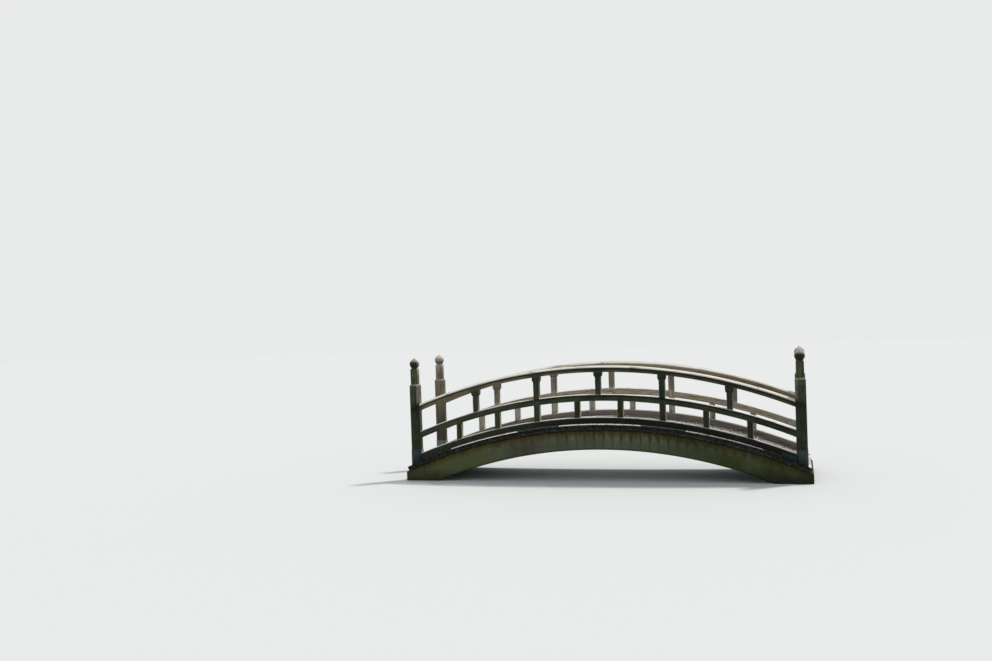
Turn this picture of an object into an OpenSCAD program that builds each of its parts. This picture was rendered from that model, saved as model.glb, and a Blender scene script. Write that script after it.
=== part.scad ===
// Garden moon bridge: a cast concrete arch, a plank deck that follows its curve and
// two timber railings with turned newel finials.
// X runs along the bridge, Y across it and Z up. The origin is on the ground, midway
// between the two feet.

/* [Arch] */
// Length of the concrete arch from end face to end face
arch_length = 6440; // [6300:10:6700]
// Width of the concrete arch
arch_width = 1540; // [1480:10:1570]
// Thickness of the concrete at the crown
crown_thickness = 316; // [260:2:360]
// Chamfer that the formwork leaves on the long edges of the concrete
arch_chamfer = 12; // [4:1:30]
// Radius of the underside of the arch
soffit_radius = 7200; // [6900:50:7500]

/* [Deck] */
// Height of the walking surface at the crown above the feet
crown_height = 890; // [860:5:960]
// Radius of the walking surface, which every rail follows
walk_radius = 8070; // [7800:10:8600]
// Length of a plank, across the bridge
plank_length = 1590; // [1580:5:1700]
// Width of a plank, along the bridge
plank_width = 140; // [120:1:160]
// Thickness of a plank
plank_thickness = 64; // [50:1:80]
// Gap between two planks
plank_gap = 6; // [3:1:12]
// Bevel on the upper edges of a plank
plank_bevel = 4; // [1:1:8]

/* [Railing layout] */
// Distance from the ends of the planks to the middle of each railing
railing_inset = 158; // [150:2:210]
// Distance from the middle of the bridge to each full post
post_station = 1000; // [900:10:1100]
// Distance from the end of the deck to the middle of each newel
newel_inset = 130; // [110:2:220]
// Distance from the middle of the bridge to each outer upper strut
upper_strut_station = 2020; // [1900:2:2150]
// Distance from the middle of the bridge to the strut pair inside the middle bay
inner_strut_station = 344; // [250:2:450]
// Distance from a full post to the nearer lower strut of the end bay
near_strut_offset = 660; // [500:2:700]
// Distance from a full post to the farther lower strut of the end bay
far_strut_offset = 1312; // [1200:2:1400]

/* [Ground sill] */
// Height of the drain slot under the ground sill at the crown
slot_height = 19; // [12:1:40]
// Height of the ground sill
sill_height = 106; // [80:1:120]
// Width of the ground sill and of the mid rail
rail_width = 104; // [98:1:120]
// Bevel on the upper edges of the ground sill and of the mid rail
rail_bevel = 7; // [2:1:10]
// Length of the packing block under each full post
post_block_length = 670; // [400:10:800]
// Reach of the end packing block from the middle of the newel
newel_block_reach = 570; // [450:10:750]

/* [Rails and posts] */
// Height of the top of the mid rail above the walking surface
mid_rail_top = 484; // [440:1:510]
// Height of the mid rail
mid_rail_height = 104; // [80:1:120]
// Side of a full post
post_side = 95; // [94:1:110]
// Side of a strut
strut_side = 90; // [70:1:96]
// Height of the top of the handrail above the walking surface
handrail_top = 940; // [880:5:1000]
// Height of the handrail
handrail_height = 106; // [90:1:125]
// Width of the handrail
handrail_width = 120; // [100:1:124]
// Rise of the rounded top of the handrail
handrail_crown = 36; // [20:1:45]
// Height of a bearing block
bearing_height = 75; // [55:1:90]
// Length of a bearing block along the rail
bearing_length = 128; // [112:1:150]
// Depth of a rail tenon in its post
tenon_depth = 30; // [15:1:35]
// Thickness of a rail tenon
tenon_thickness = 30; // [20:1:40]
// Shoulder above and below a rail tenon
tenon_shoulder = 14; // [8:1:20]

/* [Newel] */
// Side of a newel
newel_side = 164; // [160:1:180]
// Chamfer on the corners of a newel
newel_chamfer = 28; // [10:1:30]
// Height of the newel's shoulder above the deck
shoulder_height = 1295; // [1200:5:1400]
// Height of the slope between the shoulder and the neck
shoulder_slope = 24; // [12:1:40]
// Side of the newel's neck
neck_side = 122; // [110:1:140]
// Chamfer on the corners of the neck
neck_chamfer = 14; // [4:1:24]
// Height of the top of the neck above the deck
neck_height = 1546; // [1500:2:1650]
// Height of the metal shoe above the deck
shoe_height = 214; // [150:2:240]
// Thickness of the metal shoe
shoe_sheet = 3; // [2:0.5:5]
// Reach of the shoe's wing along the packing block, from the middle of the newel
shoe_wing_reach = 300; // [180:5:420]

/* [Finial] */
// Radius of the finial's ball
ball_radius = 81; // [70:1:90]
// Height of the middle of the ball above the neck
ball_height = 80; // [72:1:95]
// Radius of the finial's stem
stem_radius = 54; // [40:1:56]
// Height of the pointed tip above the ball
tip_rise = 17; // [8:1:30]

/* [Hidden] */
FRONT = -1;
BACK = 1;
LEFT = -1;
RIGHT = 1;
// Running space between seated pieces
seat = 0.3;
// Facets of a full circle of the long curves, and of the turned pieces
arc_fn = 720;
turn_fn = 64;
// Straight steps of the handrail's crown, the ball and its ogee
crown_steps = 10;
ball_steps = 16;
ogee_steps = 6;
// Angle from the top at which the ogee leaves the ball, its pull as a share of the
// ball's radius, and the radius of its tip
ogee_start = 35;
ogee_reach = 0.47;
tip_radius = 3;
// Share of a bearing block's height over which it is drawn in
bearing_waist = 0.4;
// Overshoot of a cutting solid past the face that it cuts
over = 5;
rail_y = plank_length / 2 - railing_inset;
// The planks are chords of the walking circle, so their corners lie on it
deck_centre_z = crown_height - walk_radius;
plank_top_distance = sqrt(pow(walk_radius, 2) - pow(plank_width / 2, 2));
bed_radius = plank_top_distance - plank_thickness - seat;
soffit_centre_z = deck_centre_z + bed_radius - crown_thickness - soffit_radius;
plank_step = (plank_width + plank_gap) / walk_radius * 180 / PI;
half_arc = asin(arch_length / 2 / walk_radius);
last_plank = floor((half_arc - plank_step / 2) / plank_step);
// The newels stand on the last planks, so their place is taken from the end of the deck
deck_end = walk_radius * sin(last_plank * plank_step + asin(plank_width / 2 / walk_radius));
newel_station = deck_end - newel_inset;
// Every rail keeps the curve of the deck, so its centre is the deck's, lifted
rail_radius = walk_radius;
sill_top = slot_height + sill_height;
newel_inner = newel_station - newel_side / 2;
shoe_thickness = shoe_sheet + 2 * seat;
lower_strut_stations = [
    inner_strut_station,
    post_station + near_strut_offset,
    post_station + far_strut_offset
];
bearing_foot = max(post_side, strut_side) + 2;
bearing_stations = [-upper_strut_station, -post_station, 0, post_station, upper_strut_station];
highest = crown_height + handrail_top + neck_height;

timber = [0.42, 0.38, 0.33];
plank_colour = [0.50, 0.46, 0.40];
concrete_colour = [0.50, 0.49, 0.38];
metal_colour = [0.30, 0.42, 0.42];

// Height of a lifted deck curve at a station along the bridge, and its slope there
function curve_z(lift, x) = deck_centre_z + lift + sqrt(pow(rail_radius, 2) - pow(x, 2));
function curve_slope(x) = -x / sqrt(pow(rail_radius, 2) - pow(x, 2));
// Height of a seat laid straight on that curve, where it leaves the station by dx
function seat_z(lift, x, dx) = curve_z(lift, x) + curve_slope(x) * dx + seat;
// Height of the underside of a rail at a station
function under_z(lift, height, x) =
    deck_centre_z + lift + sqrt(pow(rail_radius - height, 2) - pow(x, 2));
// Height of the top of a post or an upper strut at a station, under its bearing block
function bearing_low_z(x) =
    under_z(handrail_top, handrail_height, abs(x) + bearing_length / 2) - bearing_height;
deck_at_newel = curve_z(0, newel_station);

// A disc in the plane of the arch, its axis across the bridge. From the chamfer on, its
// rim slopes at 45 degrees: inward to trim an edge, or outward to flare a cut.
module arch_disc(radius, centre_z, slope) {
    straight = arch_width / 2 - arch_chamfer;
    sloped = arch_chamfer + over;
    translate([0, 0, centre_z])
        rotate([90, 0, 0])
            rotate_extrude($fn = arc_fn)
                polygon([
                    [0, -straight - sloped],
                    [radius + slope * sloped, -straight - sloped],
                    [radius, -straight],
                    [radius, straight],
                    [radius + slope * sloped, straight + sloped],
                    [0, straight + sloped]
                ]);
}

// The plan of the concrete, with its corners cut off
module arch_plan() {
    end = arch_length / 2;
    side = arch_width / 2;
    polygon([
        [end, arch_chamfer - side], [end, side - arch_chamfer],
        [end - arch_chamfer, side], [arch_chamfer - end, side],
        [-end, side - arch_chamfer], [-end, arch_chamfer - side],
        [arch_chamfer - end, -side], [end - arch_chamfer, -side]
    ]);
}

// An upright outline, drawn along the bridge and given a width across it
module across(width) {
    rotate([90, 0, 0])
        linear_extrude(width, center = true)
            children();
}

// The other end of the bridge is the mirror image of this one
module at_end(end) {
    mirror([end == LEFT ? 1 : 0, 0, 0])
        children();
}

module at_railing(side) {
    translate([0, side * rail_y, 0])
        children();
}

// A section, with its radius along X, carried along the curve between two stations.
// It is swept a little too far and cut off upright at each station.
module curved_bar(lift, low, high, from_x, to_x) {
    start = 90 - asin(to_x / (to_x > 0 ? low : high));
    end = 90 - asin(from_x / (from_x < 0 ? low : high));
    intersection() {
        translate([0, 0, deck_centre_z + lift])
            rotate([90, 0, 0])
                rotate([0, 0, start])
                    rotate_extrude(angle = end - start, $fn = arc_fn)
                        children();
        translate([from_x, -highest, 0])
            cube([to_x - from_x, 2 * highest, highest]);
    }
}

module bar_section(low, high, width, bevel) {
    half = width / 2;
    polygon([
        [low, -half],
        [high - bevel, -half],
        [high, bevel - half],
        [high, half - bevel],
        [high - bevel, half],
        [low, half]
    ]);
}

// The tongue on the ends of a rail, with its allowance where it is cut as a mortise
module rail_tongue(lift, height, from_x, to_x, allowance) {
    low = rail_radius - height + tenon_shoulder - allowance;
    high = rail_radius - tenon_shoulder + allowance;
    curved_bar(lift, low, high, from_x, to_x)
        bar_section(low, high, tenon_thickness + 2 * allowance, 0);
}

// The concrete: the bed of the planks above, the soffit below, flat feet and ends
module concrete_arch() {
    color(concrete_colour)
    difference() {
        intersection() {
            arch_disc(bed_radius, deck_centre_z, -1);
            linear_extrude(crown_height)
                arch_plan();
        }
        arch_disc(soffit_radius, soffit_centre_z, 1);
    }
}

module plank() {
    across(plank_length)
        polygon([
            [-plank_width / 2, 0],
            [plank_width / 2, 0],
            [plank_width / 2, plank_thickness - plank_bevel],
            [plank_width / 2 - plank_bevel, plank_thickness],
            [plank_bevel - plank_width / 2, plank_thickness],
            [-plank_width / 2, plank_thickness - plank_bevel]
        ]);
}

module deck_planks() {
    color(plank_colour)
    for (i = [-last_plank : last_plank])
        translate([0, 0, deck_centre_z])
            rotate([0, i * plank_step, 0])
                translate([0, 0, plank_top_distance - plank_thickness])
                    plank();
}

// The ground sill, raised on its packing blocks so that the deck drains under it
module ground_sill(side) {
    end_x = newel_inner - shoe_thickness;
    low = rail_radius - sill_height;
    color(timber)
    at_railing(side)
        curved_bar(sill_top, low, rail_radius, -end_x, end_x)
            bar_section(low, rail_radius, rail_width, rail_bevel);
}

// A strip between two curves, each given as a function of the station
strip_steps = 6;
module strip(from_x, to_x, width, low, high) {
    step = (to_x - from_x) / strip_steps;
    across(width)
        polygon(concat(
            [for (i = [0 : strip_steps]) let (x = from_x + i * step) [x, low(x)]],
            [for (i = [strip_steps : -1 : 0]) let (x = from_x + i * step) [x, high(x)]]
        ));
}

module sill_block(from_x, to_x) {
    strip(
        from_x, to_x, rail_width,
        function(x) curve_z(0, x) + seat,
        function(x) under_z(sill_top, sill_height, x) - seat
    );
}

module sill_blocks(side) {
    color(timber)
    at_railing(side)
        for (end = [LEFT, RIGHT])
            at_end(end) {
                sill_block(
                    post_station - post_block_length / 2,
                    post_station + post_block_length / 2
                );
                sill_block(newel_station - newel_block_reach, newel_inner - shoe_thickness);
            }
}

// The mid rail: three lengths a side, tenoned into the posts and the newels
module mid_rail_length(from_x, to_x) {
    low = rail_radius - mid_rail_height;
    curved_bar(mid_rail_top, low, rail_radius, from_x + seat, to_x - seat)
        bar_section(low, rail_radius, rail_width, rail_bevel);
    rail_tongue(
        mid_rail_top, mid_rail_height,
        from_x - tenon_depth, to_x + tenon_depth, 0
    );
}

module mid_rail(side) {
    inner = post_station - post_side / 2;
    outer = post_station + post_side / 2;
    color(timber)
    at_railing(side) {
        mid_rail_length(-newel_inner, -outer);
        mid_rail_length(-inner, inner);
        mid_rail_length(outer, newel_inner);
    }
}

// An upright timber: its foot is cut to the curve that it stands on, at a lift above
// the deck, and its head is level
module standing_timber(side, x, lift, top_z) {
    half = side / 2;
    across(side)
        polygon([
            [x - half, seat_z(lift, x, -half)],
            [x + half, seat_z(lift, x, half)],
            [x + half, top_z],
            [x - half, top_z]
        ]);
}

// A full post stands on the ground sill and carries a bearing block
module post(side, end) {
    inner = post_station - post_side / 2;
    outer = post_station + post_side / 2;
    deep = tenon_depth + seat;
    color(timber)
    at_railing(side)
        at_end(end)
            difference() {
                standing_timber(
                    post_side, post_station, sill_top, bearing_low_z(post_station) - seat
                );
                rail_tongue(mid_rail_top, mid_rail_height, inner - over, inner + deep, seat);
                rail_tongue(mid_rail_top, mid_rail_height, outer - deep, outer + over, seat);
            }
}

// The lower struts fill the space between the ground sill and the mid rail
module lower_struts(side) {
    half = strut_side / 2;
    color(timber)
    at_railing(side)
        for (x = lower_strut_stations, end = [LEFT, RIGHT])
            at_end(end)
                across(strut_side)
                    polygon([
                        [x - half, seat_z(sill_top, x, -half)],
                        [x + half, seat_z(sill_top, x, half)],
                        [x + half, under_z(mid_rail_top, mid_rail_height, x + half) - seat],
                        [x - half, under_z(mid_rail_top, mid_rail_height, x - half) - seat]
                    ]);
}

// An upper strut stands on the mid rail and carries a bearing block
module upper_strut(side, x) {
    color(timber)
    at_railing(side)
        standing_timber(strut_side, x, mid_rail_top, bearing_low_z(x) - seat);
}

// A bearing block: its lower part is drawn in to the timber that it stands on, and
// its top follows the underside of the handrail
module bearing_block(x) {
    low = bearing_low_z(x);
    waist = low + bearing_height * bearing_waist;
    foot = bearing_foot / 2;
    half = bearing_length / 2;
    wide = handrail_width / 2;
    intersection() {
        across(handrail_width)
            polygon([
                [x - foot, low],
                [x + foot, low],
                [x + half, waist],
                [x + half, under_z(handrail_top, handrail_height, x + half) - seat],
                [x - half, under_z(handrail_top, handrail_height, x - half) - seat],
                [x - half, waist]
            ]);
        translate([x, 0, 0])
            rotate([0, 0, 90])
                across(bearing_length)
                    polygon([
                        [-foot, low],
                        [foot, low],
                        [wide, waist],
                        [wide, highest],
                        [-wide, highest],
                        [-wide, waist]
                    ]);
    }
}

module bearing_blocks(side) {
    color(timber)
    at_railing(side)
        for (x = bearing_stations)
            bearing_block(x);
}

// The section of the handrail: a flat underside, upright sides and a rounded top
module handrail_section(low) {
    half = handrail_width / 2;
    crown_radius = (pow(half, 2) + pow(handrail_crown, 2)) / (2 * handrail_crown);
    crown_centre = rail_radius - crown_radius;
    half_angle = asin(half / crown_radius);
    polygon(concat(
        [[low, half], [low, -half]],
        [for (i = [0 : crown_steps])
            let (angle = half_angle * (2 * i / crown_steps - 1))
            [crown_centre + crown_radius * cos(angle), crown_radius * sin(angle)]]
    ));
}

module handrail(side) {
    end_x = newel_inner - seat;
    low = rail_radius - handrail_height;
    color(timber)
    at_railing(side) {
        curved_bar(handrail_top, low, rail_radius, -end_x, end_x)
            handrail_section(low);
        rail_tongue(
            handrail_top, handrail_height,
            -newel_inner - tenon_depth, newel_inner + tenon_depth, 0
        );
    }
}

// A square with its corners cut off, as seen from above
module chamfered_square(side, chamfer) {
    half = side / 2;
    flat = half - chamfer;
    polygon([
        [half, -flat], [half, flat], [flat, half], [-flat, half],
        [-half, flat], [-half, -flat], [-flat, -half], [flat, -half]
    ]);
}

// Everything above the deck where a newel stands, up to a level top
module above_deck(side, top_z) {
    half = side / 2;
    across(2 * side)
        polygon([
            [newel_station - half, seat_z(0, newel_station, -half)],
            [newel_station + half, seat_z(0, newel_station, half)],
            [newel_station + half, top_z],
            [newel_station - half, top_z]
        ]);
}

// The upright outline of a newel's body, up to the top of its sloping shoulder
module body_outline(shoulder_z) {
    half = newel_side / 2;
    neck = neck_side / 2;
    across(newel_side)
        polygon([
            [-half, 0],
            [half, 0],
            [half, shoulder_z - shoulder_slope],
            [neck, shoulder_z],
            [-neck, shoulder_z],
            [-half, shoulder_z - shoulder_slope]
        ]);
}

module newel(side, end) {
    shoulder_z = deck_at_newel + shoulder_height;
    top_z = deck_at_newel + neck_height;
    deep = tenon_depth + seat;
    color(timber)
    at_railing(side)
        at_end(end)
            difference() {
                union() {
                    intersection() {
                        above_deck(newel_side, shoulder_z);
                        translate([newel_station, 0, 0])
                            intersection() {
                                body_outline(shoulder_z);
                                rotate([0, 0, 90])
                                    body_outline(shoulder_z);
                                linear_extrude(shoulder_z)
                                    chamfered_square(newel_side, newel_chamfer);
                            }
                    }
                    translate([newel_station, 0, shoulder_z - over])
                        linear_extrude(top_z - shoulder_z + over)
                            chamfered_square(neck_side, neck_chamfer);
                }
                rail_tongue(
                    mid_rail_top, mid_rail_height,
                    newel_inner - over, newel_inner + deep, seat
                );
                rail_tongue(
                    handrail_top, handrail_height,
                    newel_inner - over, newel_inner + deep, seat
                );
            }
}

// The turned finial: a short stem, the ball, and an ogee that draws it to a tip
module finial(side, end) {
    tip_z = ball_height + ball_radius + tip_rise;
    stem_angle = 180 - asin(stem_radius / ball_radius);
    from = [ball_radius * sin(ogee_start), ball_height + ball_radius * cos(ogee_start)];
    bend = from + ogee_reach * ball_radius * [-cos(ogee_start), sin(ogee_start)];
    color(timber)
    at_railing(side)
        translate([end * newel_station, 0, deck_at_newel + neck_height + seat])
            rotate_extrude($fn = turn_fn)
                polygon(concat(
                    [[0, 0], [stem_radius, 0]],
                    [for (i = [0 : ball_steps])
                        let (a = stem_angle + (ogee_start - stem_angle) * i / ball_steps)
                        [ball_radius * sin(a), ball_height + ball_radius * cos(a)]],
                    [for (i = [1 : ogee_steps])
                        let (t = i / ogee_steps)
                        pow(1 - t, 2) * from + 2 * t * (1 - t) * bend
                            + t * t * [tip_radius, tip_z]],
                    [[0, tip_z]]
                ));
}

// The sheet-metal shoe: a sleeve round the foot of the newel and a wing that covers
// the outer face of the packing block and of the lower half of the sill
module shoe(side, end) {
    inside = newel_side + 2 * seat;
    outside = inside + 2 * shoe_sheet;
    top_z = deck_at_newel + shoe_height;
    wing_lift = slot_height + sill_height / 2;
    color(metal_colour)
    at_railing(side)
        at_end(end) {
            intersection() {
                above_deck(outside, top_z);
                translate([newel_station, 0, 0])
                    linear_extrude(top_z)
                        difference() {
                            chamfered_square(outside, newel_chamfer);
                            chamfered_square(inside, newel_chamfer);
                        }
            }
            translate([0, side * (rail_width + shoe_sheet + 2 * seat) / 2, 0])
                strip(
                    newel_station - shoe_wing_reach, newel_inner - seat, shoe_sheet,
                    function(x) curve_z(0, x) + seat,
                    function(x) curve_z(wing_lift, x)
                );
        }
}

concrete_arch();
deck_planks();
ground_sill(FRONT);  // front_ground_sill
ground_sill(BACK);  // back_ground_sill
sill_blocks(FRONT);  // front_sill_blocks
sill_blocks(BACK);  // back_sill_blocks
mid_rail(FRONT);  // front_mid_rail
mid_rail(BACK);  // back_mid_rail
handrail(FRONT);  // front_handrail
handrail(BACK);  // back_handrail
post(FRONT, LEFT);  // front_post_left
post(FRONT, RIGHT);  // front_post_right
post(BACK, LEFT);  // back_post_left
post(BACK, RIGHT);  // back_post_right
lower_struts(FRONT);  // front_lower_struts
lower_struts(BACK);  // back_lower_struts
upper_strut(FRONT, -upper_strut_station);  // front_upper_strut_left
upper_strut(FRONT, 0);  // front_upper_strut_centre
upper_strut(FRONT, upper_strut_station);  // front_upper_strut_right
upper_strut(BACK, -upper_strut_station);  // back_upper_strut_left
upper_strut(BACK, 0);  // back_upper_strut_centre
upper_strut(BACK, upper_strut_station);  // back_upper_strut_right
bearing_blocks(FRONT);  // front_bearing_blocks
bearing_blocks(BACK);  // back_bearing_blocks
newel(FRONT, LEFT);  // front_newel_left
newel(FRONT, RIGHT);  // front_newel_right
newel(BACK, LEFT);  // back_newel_left
newel(BACK, RIGHT);  // back_newel_right
finial(FRONT, LEFT);  // front_finial_left
finial(FRONT, RIGHT);  // front_finial_right
finial(BACK, LEFT);  // back_finial_left
finial(BACK, RIGHT);  // back_finial_right
shoe(FRONT, LEFT);  // front_shoe_left
shoe(FRONT, RIGHT);  // front_shoe_right
shoe(BACK, LEFT);  // back_shoe_left
shoe(BACK, RIGHT);  // back_shoe_right
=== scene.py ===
# %% [markdown]
# A garden moon bridge, finished in Blender.
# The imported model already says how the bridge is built: a cast concrete arch, a deck of
# boards that follows its curve and two timber railings. This lesson gives each of those
# pieces the worn edges, weathered wood and stained concrete of the real bridge. Everything
# is in metres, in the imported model's own frame: X along the bridge, Y across it, Z up.

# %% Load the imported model
import math
import random
from functools import partial
from types import SimpleNamespace

import bmesh
import bpy
from mathutils import Euler, Matrix, Vector, noise


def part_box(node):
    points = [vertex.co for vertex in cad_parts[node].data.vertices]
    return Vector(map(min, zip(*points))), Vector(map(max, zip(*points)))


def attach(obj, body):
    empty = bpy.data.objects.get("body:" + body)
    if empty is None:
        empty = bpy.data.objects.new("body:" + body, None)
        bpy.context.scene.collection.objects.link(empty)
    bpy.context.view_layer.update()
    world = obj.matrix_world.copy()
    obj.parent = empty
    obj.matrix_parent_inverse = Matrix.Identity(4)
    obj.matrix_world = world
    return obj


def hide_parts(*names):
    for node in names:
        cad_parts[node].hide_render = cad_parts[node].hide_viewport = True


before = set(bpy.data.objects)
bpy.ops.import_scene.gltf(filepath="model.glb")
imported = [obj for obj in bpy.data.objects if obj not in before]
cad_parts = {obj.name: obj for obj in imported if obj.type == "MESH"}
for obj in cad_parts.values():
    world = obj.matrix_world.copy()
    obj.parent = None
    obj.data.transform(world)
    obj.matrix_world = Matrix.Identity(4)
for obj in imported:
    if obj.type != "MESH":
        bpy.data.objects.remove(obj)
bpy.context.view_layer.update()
print("Nodes in the model:", len(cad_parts))

# %% [markdown]
# Sizes that the model knows.
# Most sizes are read off the boxes of the model's nodes, so that a piece made here stands
# exactly where its node does. A post is square, for example, so the width of its node's
# box is the side of the post, and the middle of the box is its station.

# %% Reading the boxes
X, Y, Z = 0, 1, 2


def box_width(node, axis):
    low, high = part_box(node)
    return high[axis] - low[axis]


def box_middle(node, axis):
    low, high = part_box(node)
    return (low[axis] + high[axis]) / 2


RAIL_Y = box_middle("back_handrail", Y)
NEWEL_STATION, NEWEL_SIDE = box_middle("back_newel_right", X), box_width("back_newel_right", X)
POST_STATION, POST_SIDE = box_middle("back_post_right", X), box_width("back_post_right", X)
UPPER_STRUT_STATION = box_middle("back_upper_strut_right", X)
STRUT_SIDE = box_width("back_upper_strut_right", X)
NEWEL_INNER = NEWEL_STATION - NEWEL_SIDE / 2
SIDES = {"front": -1, "back": 1}
ENDS = {"left": -1, "right": 1}
print("Newels stand at", round(NEWEL_STATION, 3), "m and posts at", round(POST_STATION, 3), "m")

# %% [markdown]
# The curve that everything follows.
# The boards and all the rails are parts of one circle, seen from the side. A rail is that
# circle lifted straight up, so a height above the deck and a station along the bridge
# fix every joint of the railing. The model's boxes give the lifts.

# %% The curve of the deck
WALK_RADIUS = 8.070
CROWN_HEIGHT = 0.890
CURVE_CENTRE_Z = CROWN_HEIGHT - WALK_RADIUS


def lift_of(node):
    """How high the top of a node at the crown lies above the walking surface."""
    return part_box(node)[1][Z] - CROWN_HEIGHT


def curve_z(lift, x, depth=0.0):
    """Height at station x of the lifted curve, or of the one that lies depth under it."""
    return CURVE_CENTRE_Z + lift + math.sqrt((WALK_RADIUS - depth) ** 2 - x ** 2)


def curve_slope(x):
    return -x / math.sqrt(WALK_RADIUS ** 2 - x ** 2)


SILL_LIFT = lift_of("front_ground_sill")
MID_RAIL_LIFT = lift_of("front_mid_rail")
HANDRAIL_LIFT = lift_of("front_handrail")
DECK_AT_NEWEL = curve_z(0, NEWEL_STATION)
print("Lifts of sill, mid rail and handrail:", SILL_LIFT, MID_RAIL_LIFT, HANDRAIL_LIFT)

# %% [markdown]
# The camera.
# It stands where the photograph was taken: about 17 m away, a little to the right of the
# middle and 1.8 m above the crown of the deck, with a lens a little wider than normal.
# Its turn is given as a photographer would give it: which way it points, how far down,
# and how much it leans.

# %% Camera
CAMERA_PLACE = (3.012, -17.126, 2.681)
CAMERA_YAW = -0.2751
CAMERA_PITCH = 0.0149
CAMERA_ROLL = -0.0349
CAMERA_LENS_MM = 38.46
SENSOR_MM = 36

camera_data = bpy.data.cameras.new("photo_camera")
camera_data.lens = CAMERA_LENS_MM
camera_data.sensor_width = SENSOR_MM
camera = bpy.data.objects.new("photo_camera", camera_data)
turn = Euler((math.pi / 2 - CAMERA_PITCH, 0, -CAMERA_YAW)).to_matrix()
lean = Matrix.Rotation(CAMERA_ROLL, 3, "Z")
camera.matrix_world = Matrix.Translation(CAMERA_PLACE) @ (turn @ lean).to_4x4()
bpy.context.scene.collection.objects.link(camera)
bpy.context.scene.camera = camera
bpy.context.scene.view_settings.view_transform = "Standard"
print("Camera at", CAMERA_PLACE)

# %% [markdown]
# Materials are trees of nodes, and most of their code adds a node, sets it and links it.
# One small function does all three. An input that is given an output is linked to it, one
# that is given a web colour takes it as linear light, and any other takes its value. It
# returns the output that the next node needs, so a tree is written as a row of formulas.

# %% Node and colour helpers
# The two colour inputs of a Mix node, and the settings that many nodes share
UNDER, OVER = 6, 7
COLOURS = {"data_type": "RGBA", "clamp_factor": True, "out": 2}
TINTED = {**COLOURS, "blend_type": "MULTIPLY"}
SMOOTH = {"interpolation_type": "SMOOTHSTEP"}
TIMES, TIMES_PLUS, MINUS, PER, SIZE_OF = (
    {"operation": word} for word in ("MULTIPLY", "MULTIPLY_ADD", "SUBTRACT", "DIVIDE", "ABSOLUTE")
)


def linear(hex_colour):
    """A web colour such as "8a8577" as linear red, green, blue and alpha."""
    channels = [int(hex_colour[i : i + 2], 16) / 255 for i in (0, 2, 4)]
    return [c / 12.92 if c <= 0.04045 else ((c + 0.055) / 1.055) ** 2.4 for c in channels] + [1]


def add_node(tree, kind, inputs=(), stops=(), out=0, **settings):
    """Adds a node and returns one of its outputs, or the node itself where out is None.

    The inputs are a row in the node's own order, or a dictionary by name or number.
    """
    made = tree.nodes.new("ShaderNode" + kind)
    for name, value in settings.items():
        setattr(made, name, value)
    for key, value in inputs.items() if isinstance(inputs, dict) else enumerate(inputs):
        if isinstance(value, bpy.types.NodeSocket):
            tree.links.new(value, made.inputs[key])
        else:
            made.inputs[key].default_value = linear(value) if isinstance(value, str) else value
    for index, (position, colour) in enumerate(stops):
        elements = made.color_ramp.elements
        stop = elements[index] if index < 2 else elements.new(position)
        stop.position, stop.color = position, linear(colour)
    return made if out is None else made.outputs[out]


def new_material(name, sheen=0.5, metallic=0.0):
    """An empty material, its shader, and add_node ready to work in its tree.

    The sheen is the shader's specular level: 0.5 for a sound surface, less for a fibrous one.
    """
    material = bpy.data.materials.new(name)
    material.use_nodes = True
    shader = material.node_tree.nodes["Principled BSDF"]
    shader.inputs["Specular IOR Level"].default_value = sheen
    shader.inputs["Metallic"].default_value = metallic
    return material, shader, partial(add_node, material.node_tree)


def finish_shader(node, shader, colour, roughness, relief, depth):
    """Links the colour and the roughness, and raises the surface by relief times depth."""
    links = shader.id_data.links
    links.new(colour, shader.inputs["Base Color"])
    links.new(roughness, shader.inputs["Roughness"])
    links.new(node("Bump", {"Height": relief, "Distance": depth}), shader.inputs["Normal"])


# %% [markdown]
# Weather works in coats: algae over wood, dirt over algae. So each finish starts from a
# plain colour, a pattern such as the figure of the wood tints it, and coats are laid over
# it one by one. Every coat has masks that say where it lies, such as "high up" and "in a
# patch", and it shows where they overlap.

# %% Coats and their masks


def overlap(node, *masks):
    """How strong all the masks are together, from 0 to 1.

    A mask is an output or a number, or a row that fades an output in: the output, its
    values where the mask begins and where it is full, and how strong the mask is there.
    """
    together = None
    for mask in masks:
        if isinstance(mask, tuple):
            mask = node("MapRange", mask, **SMOOTH)
        together = mask if together is None else node("Math", (together, mask), **TIMES)
    return together


def lay_coats(node, colour, *coats):
    """Lays coats over a colour, each of them a colour and its masks."""
    for coat, *masks in coats:
        colour = node("Mix", {0: overlap(node, *masks), UNDER: colour, OVER: coat}, **COLOURS)
    return colour


def tint(node, colour, *tints):
    """Darkens a colour by patterns, each with its strength and the stops of its ramp."""
    for pattern, strength, *stops in tints:
        shade = node("ValToRGB", (pattern,), stops)
        colour = node("Mix", {0: strength, UNDER: colour, OVER: shade}, **TINTED)
    return colour


# %% [markdown]
# The grain of wood.
# Grain has to run along each timber, also where the timber is bent or stands upright. So
# every timber carries a "grain" attribute: the place of each point in the straight log
# that it was sawn from. All the figure of the wood is drawn in that space: growth rings,
# long fibres, the cracks that open as a timber dries, and knots.

# %% Grain of a timber
# At a scale of 1 a ring wave repeats every 2 pi / 20 of a metre. Real rings are 3 mm
# apart, too fine to show, so they are drawn 14 mm apart.
RING_SCALE = 2 * math.pi / 20 / 0.014


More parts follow.
